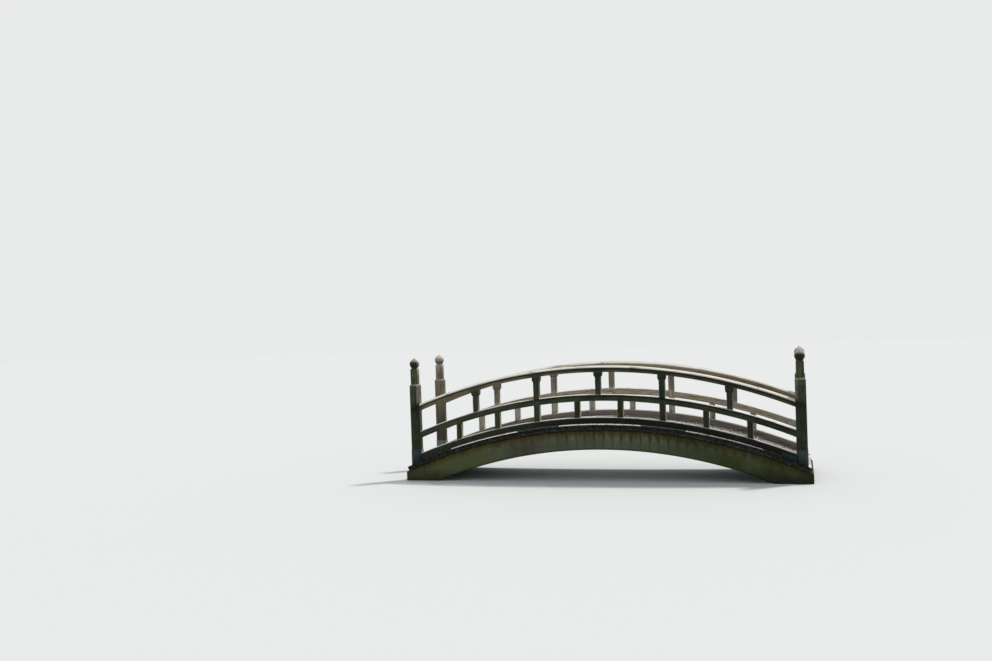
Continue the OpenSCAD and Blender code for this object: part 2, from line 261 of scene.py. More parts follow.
def timber_grain(node, fibre_share):
    """The figure, fibres, drying checks and knots of a timber, from 0 to 1, and its relief."""
    grain = node("Attribute", attribute_name="grain", out="Vector")
    log = node("VectorMath", (grain, (0.10, 1, 1)), **TIMES)
    rings = node(
        "TexWave",
        {"Vector": log, "Scale": RING_SCALE, "Distortion": 7, "Detail": 3, "Detail Scale": 0.8},
        out="Fac", wave_type="RINGS", rings_direction="X",
    )
    bands, fibres, slow, reach = (
        node("TexNoise", {
            "Vector": node("VectorMath", (grain, (along, across, across)), **TIMES),
            "Scale": 1, "Detail": detail, "Roughness": roughness,
        })
        for along, across, detail, roughness in (
            (2.0, 50, 4.0, 0.6), (9.0, 200, 2.0, 0.5), (1.5, 26, 1.0, 0.5), (3.0, 9, 1.0, 0.5),
        )
    )
    figure = node("Mix", {0: 0.35, 2: bands, 3: rings}, data_type="FLOAT")
    # A check is a crack some 3 mm wide and 0.3 m long, where a slow noise crosses 0.5
    off_line = node("Math", (node("Math", (slow, 0.5), **MINUS),), **SIZE_OF)
    checks = overlap(node, (off_line, 0.016, 0.004), (reach, 0.50, 0.58))
    # A knot about 30 mm wide in every half metre or so
    knot_place = node("VectorMath", (grain, (3.0, 7.0, 7.0)), **TIMES)
    cell = node("TexVoronoi", {"Vector": knot_place, "Scale": 1, "Randomness": 0.9}, out="Distance")
    knots = overlap(node, (cell, 0.16, 0.07))
    relief = node("Mix", {0: fibre_share, 2: figure, 3: fibres}, data_type="FLOAT")
    return figure, fibres, checks, knots, node("Math", (relief, checks), **MINUS)


# %% [markdown]
# Where the weather has reached, and where light and shade are painted.
# A few masks steer every weathered finish on the bridge and its painted light and shade: how
# far a face looks up, down or outward from the walkway, and how high it lies above the deck.
# They come from the surface's normal and place, so they hold for any piece, whatever its shape.

# %% Masks from place and normal


def weather_and_light_masks(node):
    """Where a surface lies, how high above the deck, and how far it faces up, down and out."""
    place = node("TexCoord", out="Object")
    where = node("SeparateXYZ", (place,), out=None).outputs
    facing = node("SeparateXYZ", (node("NewGeometry", out="Normal"),), out=None).outputs
    side = node("Math", (where[Y],), operation="SIGN")
    outward = node("Math", (facing[Y], side), **TIMES)
    # The deck's curve at this station, as curve_z has it
    run = node("Math", (where[X], where[X]), **TIMES)
    rise = node("Math", (WALK_RADIUS ** 2, run), **MINUS)
    deck = node("Math", (node("Math", (rise,), operation="SQRT"), CURVE_CENTRE_Z), operation="ADD")
    return SimpleNamespace(
        place=place, x=where[X], z=where[Z],
        off_middle=node("Math", (where[Y],), **SIZE_OF),
        height=node("Math", (where[Z], deck), **MINUS),
        sideways=node("Math", (facing[Y],), **SIZE_OF),
        up=overlap(node, (facing[Z], 0.18, 0.58)),
        level=overlap(node, (facing[Z], 0.93, 0.985)),
        down=overlap(node, (facing[Z], 0.05, -0.65)),
        outward=overlap(node, (outward, 0.1, 0.8)),
    )


# %% [markdown]
# Weathered cedar.
# The railing is sawn softwood that was never painted. Sun and rain have turned it silver
# wherever it faces up, also on the rounded top of the handrail, and the silver is made
# paler still as painted sunlight. It keeps a warm brown grey on the faces towards the
# walkway, paler partly as painted light bounced up from the deck, and algae have made the
# shaded outer faces dark and green, darkest near the damp deck. Two colour ramps along the
# height hold those two sides, and everything else is laid over them.

# %% Weathered cedar material
# The ramps end above the tip of the finials, which is 1.72 m above the deck
RAILING_REACH = 1.90
OUTER_SIDE = (
    (0.00, "171b1c"), (0.12, "1c2222"), (0.15, "3d462a"), (0.36, "3d462a"), (0.40, "4c583f"),
    (0.48, "49543b"), (0.52, "3d4e40"), (0.80, "3b4836"), (0.90, "21271a"), (1.04, "646f53"),
    (1.30, "667354"), (1.51, "64754f"), (1.57, "37391f"), (1.87, "3a3626"),
)
INNER_SIDE = (
    (0.00, "827d76"), (0.12, "a69f96"), (0.18, "d0cdbc"), (0.34, "d0cdbc"), (0.40, "d2c8b3"),
    (0.48, "cec4af"), (0.54, "a3998a"), (0.82, "9c927b"), (0.90, "b8ab92"), (1.12, "7f7867"),
    (1.40, "918878"), (1.57, "f4e8dc"), (1.87, "f4e8dc"),
)
# Heights above the deck: the strip of painted bounce light along the lower half of the handrail's
# outer face, and the end of the newels' painted sunlit edge, just under the shoulder
STRIP_LOW, STRIP_HIGH = 0.828, 0.870
SUNLIT_EDGE_TOP = 1.26


def weathered_cedar():
    material, shader, node = new_material("weathered_cedar", 0.2)
    figure, fibres, checks, knots, relief = timber_grain(node, 0.4)
    masks = weather_and_light_masks(node)
    place, x, height = masks.place, masks.x, masks.height
    share = node("Math", (height, RAILING_REACH), **PER)
    # The inner side is paler: partly painted light bounced up from the deck, partly the lack of
    # algae
    inner, outer = (
        node("ValToRGB", (share,), [(h / RAILING_REACH, c) for h, c in side])
        for side in (INNER_SIDE, OUTER_SIDE)
    )
    from_middle = node("Math", (x,), **SIZE_OF)
    in_span = node("Math", (from_middle, NEWEL_INNER), operation="LESS_THAN")
    on_newel = node("Math", (1.0, in_span), **MINUS)
    inner = lay_coats(
        node, inner,
        # The faces of the newels towards the walkway are the palest of the inner side: painted
        # light on faces that stand in shade
        ("b6ac95", masks.sideways, on_newel, 0.5),
        # Damp rises in the newels, and darkens them toward the foot
        ("1e1c12", node("MapRange", (height, 1.05, 0.42, 0.0, 0.80)), on_newel),
    )

    growth = node("TexNoise", {"Vector": place, "Scale": 5, "Detail": 5, "Roughness": 0.6})
    above_strip_foot = node("MapRange", (height, STRIP_LOW, STRIP_LOW + 0.004))
    below_strip_top = node("MapRange", (height, STRIP_HIGH + 0.006, STRIP_HIGH - 0.006))
    off_bearing = node("Math", (x, UPPER_STRUT_STATION / 4), operation="PINGPONG")
    bounce_lit_brown = lay_coats(node, "8c8367", ("b8a27e", (x, -0.9, -1.6)))
    under_shoulder = node("Math", (height, SUNLIT_EDGE_TOP), operation="LESS_THAN")
    under_arris = node("MapRange", (height, MID_RAIL_LIFT + 0.004, MID_RAIL_LIFT - 0.002))
    outer = lay_coats(
        node, outer,
        # Algae grow in patches of about 0.2 m, and brown wood shows between them
        ("26341c", (growth, 0.44, 0.62, 0.0, 0.48)),
        ("54483a", (growth, 0.42, 0.28, 0.0, 0.50)),
        # The lower half of the handrail's outer face is brown between the bearing blocks, as
        # painted light bounced up from below, but less of it in the right part
        (bounce_lit_brown, (growth, 0.30, 0.46, 0.65, 1.0), above_strip_foot, below_strip_top,
         (off_bearing, 0.06, 0.18, 0.25, 1.0), in_span, (x, -1.6, 1.2, 1.0, 0.40)),
        # Towards the left the rails and posts are painted a little paler, as painted light
        ("66705a", (x, 0.0, -2.0, 0.0, 0.34), in_span),
        # Above the handrail the newels are paler along the edge towards the middle of the bridge,
        # as painted sunlight
        ("a8a693", (from_middle, NEWEL_STATION - 0.030, NEWEL_STATION - 0.050), on_newel,
         (height, 0.92, 1.00, 0.0, 0.75), under_shoulder),
        # A black line of painted shade lies under the mid rail's arris, but not at the left
        ("080906", (height, MID_RAIL_LIFT - 0.042, MID_RAIL_LIFT - 0.028), under_arris,
         (x, -1.4, -0.7, 0.0, 0.95), in_span),
    )
    # The right part of the railing is painted darker on both sides, as painted shade
    colour = lay_coats(node, inner, (outer, masks.outward), ("1c1e16", (x, 0.4, 2.2, 0.0, 0.20)))

    colour = tint(
        node, colour,
        (figure, 1.0, (0.24, "a8a49d"), (0.50, "eae7e3"), (0.70, "ffffff")),
        (fibres, 0.7, (0.32, "bfbbb4"), (0.60, "ffffff")),
    )

    # The silver of the faces that look up: bleached wood, made paler as painted sunlight
    silver_and_sunlight = node("ValToRGB", (figure,), [(0.25, "d2cbbe"), (0.50, "ece6da"), (0.72, "f3eee4")])
    worn = node("TexNoise", {"Vector": place, "Scale": 6, "Detail": 4})
    silver_and_sunlight = lay_coats(
        node, silver_and_sunlight,
        # Dirt stays where it is level, and the level top of the handrail is painted brown, so that
        # its rounded sides read as a painted highlight
        ("aea693", (worn, 0.62, 0.42, 0.0, 0.3), masks.level),
        ("80765e", (height, HANDRAIL_LIFT - 0.016, HANDRAIL_LIFT - 0.004), masks.level,
         in_span, 0.80),
    )
    # The newels and their finials hold more dirt than the rails do
    washed = node("MapRange", {0: in_span, 3: 0.26, 4: 1.0})
    arris = node("Attribute", attribute_name="arris", out="Fac")
    patchy = node("TexNoise", {"Vector": place, "Scale": 30, "Detail": 2})
    colour = lay_coats(
        node, colour,
        ("33281c", knots, 0.55),
        # Upper faces are bleached and carry painted sunlight, and undersides are darkened as
        # painted shade
        (silver_and_sunlight, masks.up, washed),
        # Painted shade: the faces that look down are darkened
        ("2c281e", masks.down, 0.8),
        # Arrises are rubbed a little paler
        ("a0998a", (patchy, 0.40, 0.62, 0.05, 0.30), arris),
        ("17140f", checks, 0.75),
    )
    roughness = node("MapRange", (growth, 0.3, 0.7, 0.70, 0.92))
    finish_shader(node, shader, colour, roughness, relief, 0.004)
    return material


cedar = weathered_cedar()
print("Made", cedar.name)

# %% [markdown]
# Deck boards.
# The boards are rough-sawn cedar, laid across the arch. Each was cut from another part of
# the log, so each has its own tone, kept in an attribute "board". Along and under the sills
# they are painted near white, as painted sunlight. The board ends overhang the concrete,
# never dry out, and are black with decay, with pale scabs of lichen.

# %% Deck board material
BOARD_THICKNESS = 0.064
SILL_OUTER = RAIL_Y + box_width("back_mid_rail", Y) / 2


def sawn_boards():
    material, shader, node = new_material("sawn_cedar_boards", 0.15)
    figure, fibres, checks, knots, relief = timber_grain(node, 0.5)
    masks = weather_and_light_masks(node)
    place = masks.place
    colour = node("ValToRGB", (figure,), [(0.24, "b0a29a"), (0.48, "d2c5bc"), (0.74, "e2d7cf")])
    board = node("Attribute", attribute_name="board", out="Fac")
    colour = tint(
        node, colour,
        (board, 1.0, (0.0, "d2ccc6"), (0.5, "eeeae6"), (1.0, "ffffff")),
        (fibres, 0.8, (0.30, "cbc6c0"), (0.62, "ffffff")),
    )
    wander = node("TexNoise", {"Vector": place, "Scale": 2, "Detail": 3})
    colour = lay_coats(
        node, colour,
        # Dirt lies in patches half a metre across
        ("85796c", (wander, 0.52, 0.66, 0.0, 0.35)),
        # Along and under the sills the boards are painted near white: painted sunlight that shows
        # through the drain slots, over wood that nobody walks on
        ("ece2d9", (masks.off_middle, 0.34, 0.50, 0.0, 0.85)),
        # Painted shade on the sides and undersides of the boards, in the gaps
        ("332d24", node("MapRange", (masks.up, 1.0, 0.0, 0.0, 0.85))),
        ("4a3c2d", knots, 0.6),
        ("1d1913", checks, 0.8),
    )

    # What lies outside the sill is mossy and decayed, and the ends are black
    ragged = node("TexNoise", {"Vector": place, "Scale": 25, "Detail": 3})
    ragged = node("Math", (ragged, 0.030, masks.off_middle), **TIMES_PLUS)
    decay = overlap(node, (ragged, SILL_OUTER + 0.010, SILL_OUTER + 0.022))
    rot_place, scab_place = (
        node("VectorMath", (place, (1, 1, squash)), **TIMES) for squash in (2.5, 2.2)
    )
    blotch = node("TexNoise", {"Vector": rot_place, "Scale": 16, "Detail": 5, "Roughness": 0.65})
    rot = node("ValToRGB", (blotch,), [(0.36, "0f1315"), (0.54, "242929"), (0.66, "454a42")])
    # Moss grows up the ends from the concrete, and the ledge on top of them is the blackest: rot,
    # and the painted shadow of the sill
    mossy = node("Math", (blotch, 0.07, masks.height), **TIMES_PLUS)
    rot = lay_coats(node, rot, ("3d3a1c", (mossy, 0.002, -0.030, 0.0, 0.75)), ("0b0e10", masks.up))
    # Lichen scabs some 40 mm long lie along the lower half of the ends
    scab = node("TexNoise", {"Vector": scab_place, "Scale": 26, "Detail": 2, "Roughness": 0.6})
    low_down = (masks.height, -0.020, -0.050)
    colour = lay_coats(
        node, colour, (rot, decay), ("7e8278", (scab, 0.60, 0.68, 0.0, 0.6), decay, low_down),
    )

    roughness = node("MapRange", (figure, 0.2, 0.8, 0.94, 0.78))
    finish_shader(node, shader, colour, roughness, relief, 0.005)
    return material


boards_wood = sawn_boards()
print("Made", boards_wood.name)

# %% [markdown]
# Cast concrete.
# The arch was cast in smooth forms. Rain drips through the gap at every board joint and
# runs straight down the side, so algae draw one green streak under each joint. Under the
# boards the face is stained rusty brown, and towards the feet it turns olive. The
# streaks are worked out from the boards' own spacing, so they always hang from the joints.

# %% Concrete material
BOARD_WIDTH = 0.140
BOARD_GAP = 0.006
BOARD_STEP = (BOARD_WIDTH + BOARD_GAP) / WALK_RADIUS
BED_RADIUS = math.sqrt(WALK_RADIUS ** 2 - (BOARD_WIDTH / 2) ** 2) - BOARD_THICKNESS
CROWN_THICKNESS = 0.316
SOFFIT_RADIUS = 7.200
SOFFIT_CENTRE_Z = CURVE_CENTRE_Z + BED_RADIUS - CROWN_THICKNESS - SOFFIT_RADIUS


def drip_streaks(node, masks):
    """The streaks that hang from the board joints: a broad soft one and its dark core."""
    slow_place = node("VectorMath", (masks.place, (5, 5, 2.5)), **TIMES)
    sway = node("TexNoise", {"Vector": slow_place, "Scale": 1, "Detail": 2})
    sway = node("Math", (sway, 0.040, -0.020), **TIMES_PLUS)
    station = node("Math", (masks.x, sway), operation="ADD")
    angle = node("Math", (node("Math", (station, BED_RADIUS), **PER),), operation="ARCSINE")
    # Counted in boards from the crown, the joints lie at the halves
    boards = node("Math", (angle, BOARD_STEP), **PER)
    joint = node("Math", (boards,), operation="FLOOR")
    off_joint = node("Math", (node("Math", (boards,), operation="FRACT"), 0.5), **MINUS)
    off_joint = node("Math", (off_joint,), **SIZE_OF)
    luck = node("TexWhiteNoise", {"W": joint}, noise_dimensions="1D", out="Value")
    # Each has its own width, from 40 to 90 mm with a core two thirds as wide, and its own reach
    half_width = node("MapRange", {0: luck, 3: 0.15, 4: 0.32})
    share = node("Math", (off_joint, half_width), **PER)
    reach = node("MapRange", {0: luck, 3: 0.50, 4: 0.28})
    depth = node("Math", (masks.under_edge, reach), **PER)
    # The left part has hardly any, and they are strongest around the crown
    fade = overlap(
        node, (depth, 1.1, 0.2, 0.35, 1.0), (masks.x, -0.95, -0.35, 0.12, 1.0),
        (masks.x, 2.6, 1.7, 0.35, 1.0), masks.side_face,
    )
    return overlap(node, (share, 1.0, 0.2), fade), overlap(node, (share, 0.80, 0.0), fade)


def cast_concrete():
    material, shader, node = new_material("cast_concrete", 0.25)
    masks = weather_and_light_masks(node)
    place, x = masks.place, masks.x
    masks.side_face = overlap(node, (masks.sideways, 0.4, 0.8))
    # How far a point lies below the boards
    masks.under_edge = node("Math", (masks.height, -1, -BOARD_THICKNESS), **TIMES_PLUS)
    mottle = node("TexNoise", {"Vector": place, "Scale": 3.2, "Detail": 6, "Roughness": 0.62})
    colour = node("ValToRGB", (mottle,), [(0.30, "5a5b43"), (0.50, "6c6e58"), (0.70, "7d7f6a")])
    broad, core = drip_streaks(node, masks)
    wet = node("Math", (core, 0.75), **TIMES)
    patchy = node("TexNoise", {"Vector": place, "Scale": 2.5, "Detail": 4})
    patchy = overlap(node, (patchy, 0.3, 0.62, 0.45, 0.95))
    colour = lay_coats(
        node, colour,
        ("46502c", broad, 0.60),
        ("2b3413", wet),
        # The lower half stays damp and is a little greyer
        ("565f4c", (masks.under_edge, 0.10, 0.22, 0.0, 0.6)),
        # Soot-brown dirt has settled in one stretch at the left of the crown
        ("4d4a3c", (x, -1.62, -1.34), (x, -0.80, -1.10), (mottle, 0.66, 0.36, 0.55, 1.0),
         masks.side_face),
        # Olive growth towards the right foot, and a greener one towards the left
        ("3c431a", (x, 0.3, 2.1), patchy),
        ("5f653c", (x, -1.2, -2.3), patchy),
    )

    # Rust-brown stain in the 80 mm below the boards, running down further at the joints and
    # darker towards the right foot, and over it, close to the boards, the painted shadow that they
    # cast
    ragged_place = node("VectorMath", (place, (18, 18, 3)), **TIMES)
    ragged = node("TexNoise", {"Vector": ragged_place, "Scale": 1, "Detail": 4, "Roughness": 0.65})
    stain_rim, board_shadow_rim = (
        node("Math", (ragged, -reach, masks.under_edge), **TIMES_PLUS) for reach in (0.20, 0.07)
    )
    stain_rim = node("Math", (broad, -0.05, stain_rim), **TIMES_PLUS)
    rust = node("ValToRGB", (mottle,), [(0.38, "3c3a16"), (0.50, "4d431a"), (0.62, "58481c")])
    rust = lay_coats(node, rust, ("24220b", (x, -0.1, 0.9, 0.0, 0.55)))
    # How far a point lies outside the arc of the underside, seen from the side
    flat = node("VectorMath", (place, (1, 0, 1), (0, 0, -SOFFIT_CENTRE_Z)), **TIMES_PLUS)
    from_centre = node("VectorMath", (flat,), operation="LENGTH", out="Value")
    above_soffit = node("Math", (from_centre, SOFFIT_RADIUS), **MINUS)
    toward_foot = node("TexNoise", {"Vector": place, "Scale": 6, "Detail": 3})
    toward_foot = node("Math", (toward_foot, 0.20, masks.z), **TIMES_PLUS)
    colour = lay_coats(
        node, colour,
        (rust, (stain_rim, 0.050, -0.080, 0.0, 0.92), masks.side_face),
        ("16160b", (board_shadow_rim, 0.010, -0.030, 0.0, 0.85)),
        # The last few centimetres above the underside are darker, and so is the foot
        ("2a2d22", (above_soffit, 0.045, 0.005, 0.0, 0.55)),
        ("20221a", (toward_foot, 0.36, 0.10, 0.0, 0.85)),
    )

    # Blow holes and sand grains, drawn at 8 mm so that they show
    pores = node("TexNoise", {"Vector": place, "Scale": 120, "Detail": 3, "Roughness": 0.7})
    roughness = node("MapRange", (wet, 0.0, 0.5, 0.92, 0.72))
    finish_shader(node, shader, colour, roughness, pores, 0.003)
    return material


concrete = cast_concrete()
print("Made", concrete.name, "with a streak every", round((BOARD_WIDTH + BOARD_GAP) * 1000), "mm")

# %% [markdown]
# Patinated copper.
# A sheet of copper wraps the foot of each newel and the start of the sill, where rain
# stands longest. Years outdoors give it a dull blue-grey skin that no longer shines like
# metal, darker towards the deck. The faces that don't look outward are painted paler, as painted
# light.

# %% Copper material


def patinated_copper():
    material, shader, node = new_material("patinated_copper", 0.4, metallic=0.2)
    masks = weather_and_light_masks(node)
    run_place = node("VectorMath", (masks.place, (22, 22, 5)), **TIMES)
    runs = node("TexNoise", {"Vector": run_place, "Scale": 1, "Detail": 4, "Roughness": 0.6})
    colour = node("ValToRGB", (runs,), [(0.30, "17272a"), (0.50, "243839"), (0.72, "3a4f50")])
    # Painted light: the faces that don't look outward are paler
    painted_light_inward = node("MapRange", (masks.outward, 1.0, 0.0, 0.0, 0.7))
    colour = lay_coats(
        node, colour, ("828c91", painted_light_inward), ("07191a", (masks.height, 0.15, 0.05, 0.0, 0.85)),
    )
    # Hand-dressed sheet is never quite flat: dents about 60 mm across
    dents = node("TexNoise", {"Vector": masks.place, "Scale": 16, "Detail": 2})
    roughness = node("MapRange", (runs, 0.3, 0.7, 0.48, 0.68))
    finish_shader(node, shader, colour, roughness, dents, 0.004)
    return material


copper = patinated_copper()
print("Made", copper.name)

# %% [markdown]
# A sawn timber.
# Every timber starts as a straight bar along X with its top face at zero. Its section
# is a small grid, so that the ends can be worn too. The section is extruded to length,
# the four long arrises are rounded with a bevel, less so below where no rain falls, and
# the long edges are divided so that the bar can be bent and worn. At that moment each
# point stores where it lies in the straight bar: that is the grain that the material
# reads later.

# %% Timber helpers
# Turns a section that is drawn lying down so that it faces along X
END_ON = Matrix(((0, 0, 1, 0), (1, 0, 0, 0), (0, 1, 0, 0), (0, 0, 0, 1)))


def long_edges(bm, length):
    """The edges that run the whole length of a bar that lies along X."""
    return [e for e in bm.edges if abs(e.verts[0].co.x - e.verts[1].co.x) > length / 2]


def shift(bm, vec):
    bmesh.ops.translate(bm, vec=vec, verts=bm.verts)


def extrude_by(bm, vec):
    """Extrudes all the faces, and moves the new ones by vec."""
    pulled = bmesh.ops.extrude_face_region(bm, geom=bm.faces[:])["geom"]
    bmesh.ops.translate(bm, vec=vec, verts=[g for g in pulled if isinstance(g, bmesh.types.BMVert)])


def sawn_timber(name, length, width, height, arris, cells, step=0.05, low_arris=None):
    """A straight timber along X, centred on it, with its top face at z = 0.

    Its ends are a grid of so many cells across and up, and its sides are cut every step.
    """
    bm = bmesh.new()
    bmesh.ops.create_grid(bm, x_segments=cells[0], y_segments=cells[1], size=0.5)
    bmesh.ops.scale(bm, vec=(width, height, 1), verts=bm.verts)
    bmesh.ops.transform(bm, matrix=END_ON, verts=bm.verts)
    shift(bm, (-length / 2, 0, -height / 2))
    extrude_by(bm, (length, 0, 0))
    for up, offset in ((1, arris), (-1, low_arris or arris)):
        corners = [
            e for e in long_edges(bm, length)
            if abs(e.verts[0].co.y) > width / 2 - 1e-4
            and up * (e.verts[0].co.z + height / 2) > height / 2 - 1e-4
        ]
        bmesh.ops.bevel(
            bm, geom=corners, offset=offset, segments=2, profile=0.5, affect="EDGES", material=-1
        )
    bmesh.ops.subdivide_edges(
        bm, edges=long_edges(bm, length), cuts=max(1, round(length / step) - 1), use_grid_fill=True
    )
    bmesh.ops.recalc_face_normals(bm, faces=bm.faces)
    mark_grain(bm, name, (0, 1, 2), arris, width, height)
    return bm


def mark_grain(bm, name, axes, arris=0.0, width=0.0, height=0.0):
    """Stores each point's place in its log, and whether it lies on an arris.

    The axes say which of X, Y and Z runs along the log and which two run across it.
    """
    grain = bm.verts.layers.float_vector.new("grain")
    rubbed = bm.verts.layers.float.new("arris")
    luck = random.Random(name)
    # The heart of the log lies 50 to 160 mm below the timber's top, so its rings show as bands
    log = Vector((luck.uniform(0, 40), luck.uniform(-0.06, 0.06), luck.uniform(0.05, 0.16)))
    for vert in bm.verts:
        vert[grain] = Vector([vert.co[axis] for axis in axes]) + log
        near_side = abs(vert.co.y) > width / 2 - arris * 1.2
        near_face = abs(vert.co.z + height / 2) > height / 2 - arris * 1.2
        vert[rubbed] = 1.0 if arris and near_side and near_face else 0.0


def wear(bm, depth, dent=0.004):
    """Wears the surface down by up to depth, and knocks dents into the arrises.

    The wear comes in waves 0.4 m long and 0.1 m wide, and the dents lie some 40 mm apart.
    """
    grain = bm.verts.layers.float_vector["grain"]
    rubbed = bm.verts.layers.float["arris"]
    bm.normal_update()
    for vert in bm.verts:
        place = vert[grain]
        wave = noise.noise(Vector((place.x * 2.5, place.y * 9, place.z * 9)))
        knock = noise.noise(place * 23)
        loss = depth * (0.5 + 0.5 * wave) + vert[rubbed] * dent * max(0.0, knock)
        vert.co -= vert.normal * loss


def trim(bm, point, direction):
    """Cuts off what lies beyond a plane, on the side that direction points to, and closes it."""
    whole = bm.verts[:] + bm.edges[:] + bm.faces[:]
    cut = bmesh.ops.bisect_plane(
        bm, geom=whole, plane_co=point, plane_no=direction, clear_outer=True
    )["geom_cut"]
    rim = [g for g in cut if isinstance(g, bmesh.types.BMEdge)]
    bmesh.ops.holes_fill(bm, edges=rim, sides=0)


def bend(bm, lift):
    """Bends a straight timber onto the deck's curve, its top lifted above the deck."""
    for vert in bm.verts:
        angle = vert.co.x / WALK_RADIUS
        radius = WALK_RADIUS + vert.co.z
        vert.co.x = radius * math.sin(angle)
        vert.co.z = CURVE_CENTRE_Z + lift + radius * math.cos(angle)


# %% [markdown]
# Finishing a piece.
# Each finished mesh becomes one object at the origin. It rides on the bridge's only body
# and stands for its node of the imported model, which is hidden. Faces are
# smooth across the rounded arrises and sharp at real corners.

# %% Finish a piece
SMOOTH_BELOW = math.radians(38)
triangles = {}


def finish_piece(bm, name, nodes=(), material=cedar):
    """Makes a piece of the bridge from a bmesh, by default a timber of its railings."""
    mesh = bpy.data.meshes.new(name)
    bm.to_mesh(mesh)
    bm.free()
    mesh.materials.append(material)
    mesh.shade_smooth()
    mesh.set_sharp_from_angle(angle=SMOOTH_BELOW)
    piece = bpy.data.objects.new(name, mesh)
    bpy.context.scene.collection.objects.link(piece)
    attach(piece, "root")
    if nodes:
        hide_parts(*nodes)
    triangles[name] = sum(len(p.vertices) - 2 for p in mesh.polygons)


def join_in(whole, part):
    """Adds one bmesh to another, with its attributes."""
    holder = bpy.data.meshes.new("part")
    part.to_mesh(holder)
    part.free()
    whole.from_mesh(holder)
    bpy.data.meshes.remove(holder)


def new_cluster():
    """An empty bmesh with the attributes of a timber, for several timbers in one piece."""
    bm = bmesh.new()
    bm.verts.layers.float_vector.new("grain")
    bm.verts.layers.float.new("arris")
    return bm


def made_so_far(*words):
    """The triangles of the pieces whose names hold one of the words."""
    return sum(count for name, count in triangles.items() if any(w in name for w in words))


# %% [markdown]
# The concrete arch.
# Its side is a long grid, six cells high, whose rows are drawn between the underside
# and the bed of the boards. The underside is an arc that ends on two flat feet, and a
# column of the grid stands at each end of the arc, so that the corner stays sharp. The
# side is extruded across the bridge, and the arrises get the small chamfer that
# formwork leaves.

# %% Concrete arch
ARCH_LOW, ARCH_HIGH = (Vector(corner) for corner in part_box("concrete_arch"))
FOOT_START = math.sqrt(SOFFIT_RADIUS ** 2 - SOFFIT_CENTRE_Z ** 2)
ARCH_COLUMNS = 128
ARCH_ROWS = 6
FOOT_COLUMNS = 8
ARCH_CHAMFER = 0.012
CUTS_ACROSS = 15
SHARP_TURN = math.radians(60)
# The forms bulged a little, which left hollows half a metre across
FORM_HOLLOW = 0.002


def underside_z(x):
    if abs(x) >= FOOT_START:
        return 0.0
    return SOFFIT_CENTRE_Z + math.sqrt(SOFFIT_RADIUS ** 2 - x ** 2)


def arch_station(share):
    """Station along the arch of a column, for a share from -1 to 1."""
    foot_share = 2 * FOOT_COLUMNS / ARCH_COLUMNS
    if abs(share) <= 1 - foot_share:
        return FOOT_START * share / (1 - foot_share)
    beyond = (abs(share) - 1 + foot_share) / foot_share
    return math.copysign(FOOT_START + beyond * (ARCH_HIGH.x - FOOT_START), share)


def concrete_arch():
    bm = bmesh.new()
    bmesh.ops.create_grid(bm, x_segments=ARCH_COLUMNS, y_segments=ARCH_ROWS, size=1)
    for vert in bm.verts:
        x = arch_station(vert.co.x)
        top = CURVE_CENTRE_Z + math.sqrt(BED_RADIUS ** 2 - x ** 2)
        bottom = underside_z(x)
        vert.co = (x, ARCH_LOW.y, bottom + (top - bottom) * (vert.co.y + 1) / 2)
    extrude_by(bm, (0, ARCH_HIGH.y - ARCH_LOW.y, 0))
    bmesh.ops.recalc_face_normals(bm, faces=bm.faces)
    arrises = [e for e in bm.edges if e.calc_face_angle(0) > SHARP_TURN]
    bmesh.ops.bevel(
        bm, geom=arrises, offset=ARCH_CHAMFER, segments=1, profile=0.5, affect="EDGES", material=-1
    )
    across = [e for e in bm.edges if abs(e.verts[0].co.y - e.verts[1].co.y) > 1]
    bmesh.ops.subdivide_edges(bm, edges=across, cuts=CUTS_ACROSS, use_grid_fill=True)
    bm.normal_update()
    for vert in bm.verts:
        if vert.co.z > FORM_HOLLOW:
            vert.co -= vert.normal * FORM_HOLLOW * (0.5 + 0.5 * noise.noise(vert.co * 2.2))
    finish_piece(bm, "arch_casting", ["concrete_arch"], concrete)


concrete_arch()
print("Underside springs", round(FOOT_START, 3), "m from the middle")

# %% [markdown]
# The deck boards.
# Forty-five boards lie side by side on the arch, each turned to the slope under it.
# Their lengths differ by some millimetres, they are hollowed by feet in the middle,
# and their overhanging ends have rotted back unevenly.

# %% Deck boards
BOARD_LENGTH = box_width("deck_planks", Y)
LAST_BOARD = 22
BOARD_TOP = math.sqrt(WALK_RADIUS ** 2 - (BOARD_WIDTH / 2) ** 2)
ALONG_TO_ACROSS = Matrix.Rotation(math.pi / 2, 4, "Z")
# How much at most: a board has settled, feet have hollowed it, its ends fall short, and
# rot has eaten into them
SETTLED, HOLLOWED, SHORT, ROTTED = 0.002, 0.002, 0.012, 0.009


def lay_on_arch(bm, index, settle):
    """Brings a piece made along X, with the board's top at zero, to its place on the arch."""
    bmesh.ops.transform(bm, matrix=ALONG_TO_ACROSS, verts=bm.verts)
    shift(bm, (0, 0, BOARD_TOP - settle))
    lean_with_arch = Matrix.Rotation(index * BOARD_STEP, 4, "Y")
    bmesh.ops.transform(bm, matrix=lean_with_arch, verts=bm.verts)
    shift(bm, (0, 0, CURVE_CENTRE_Z))


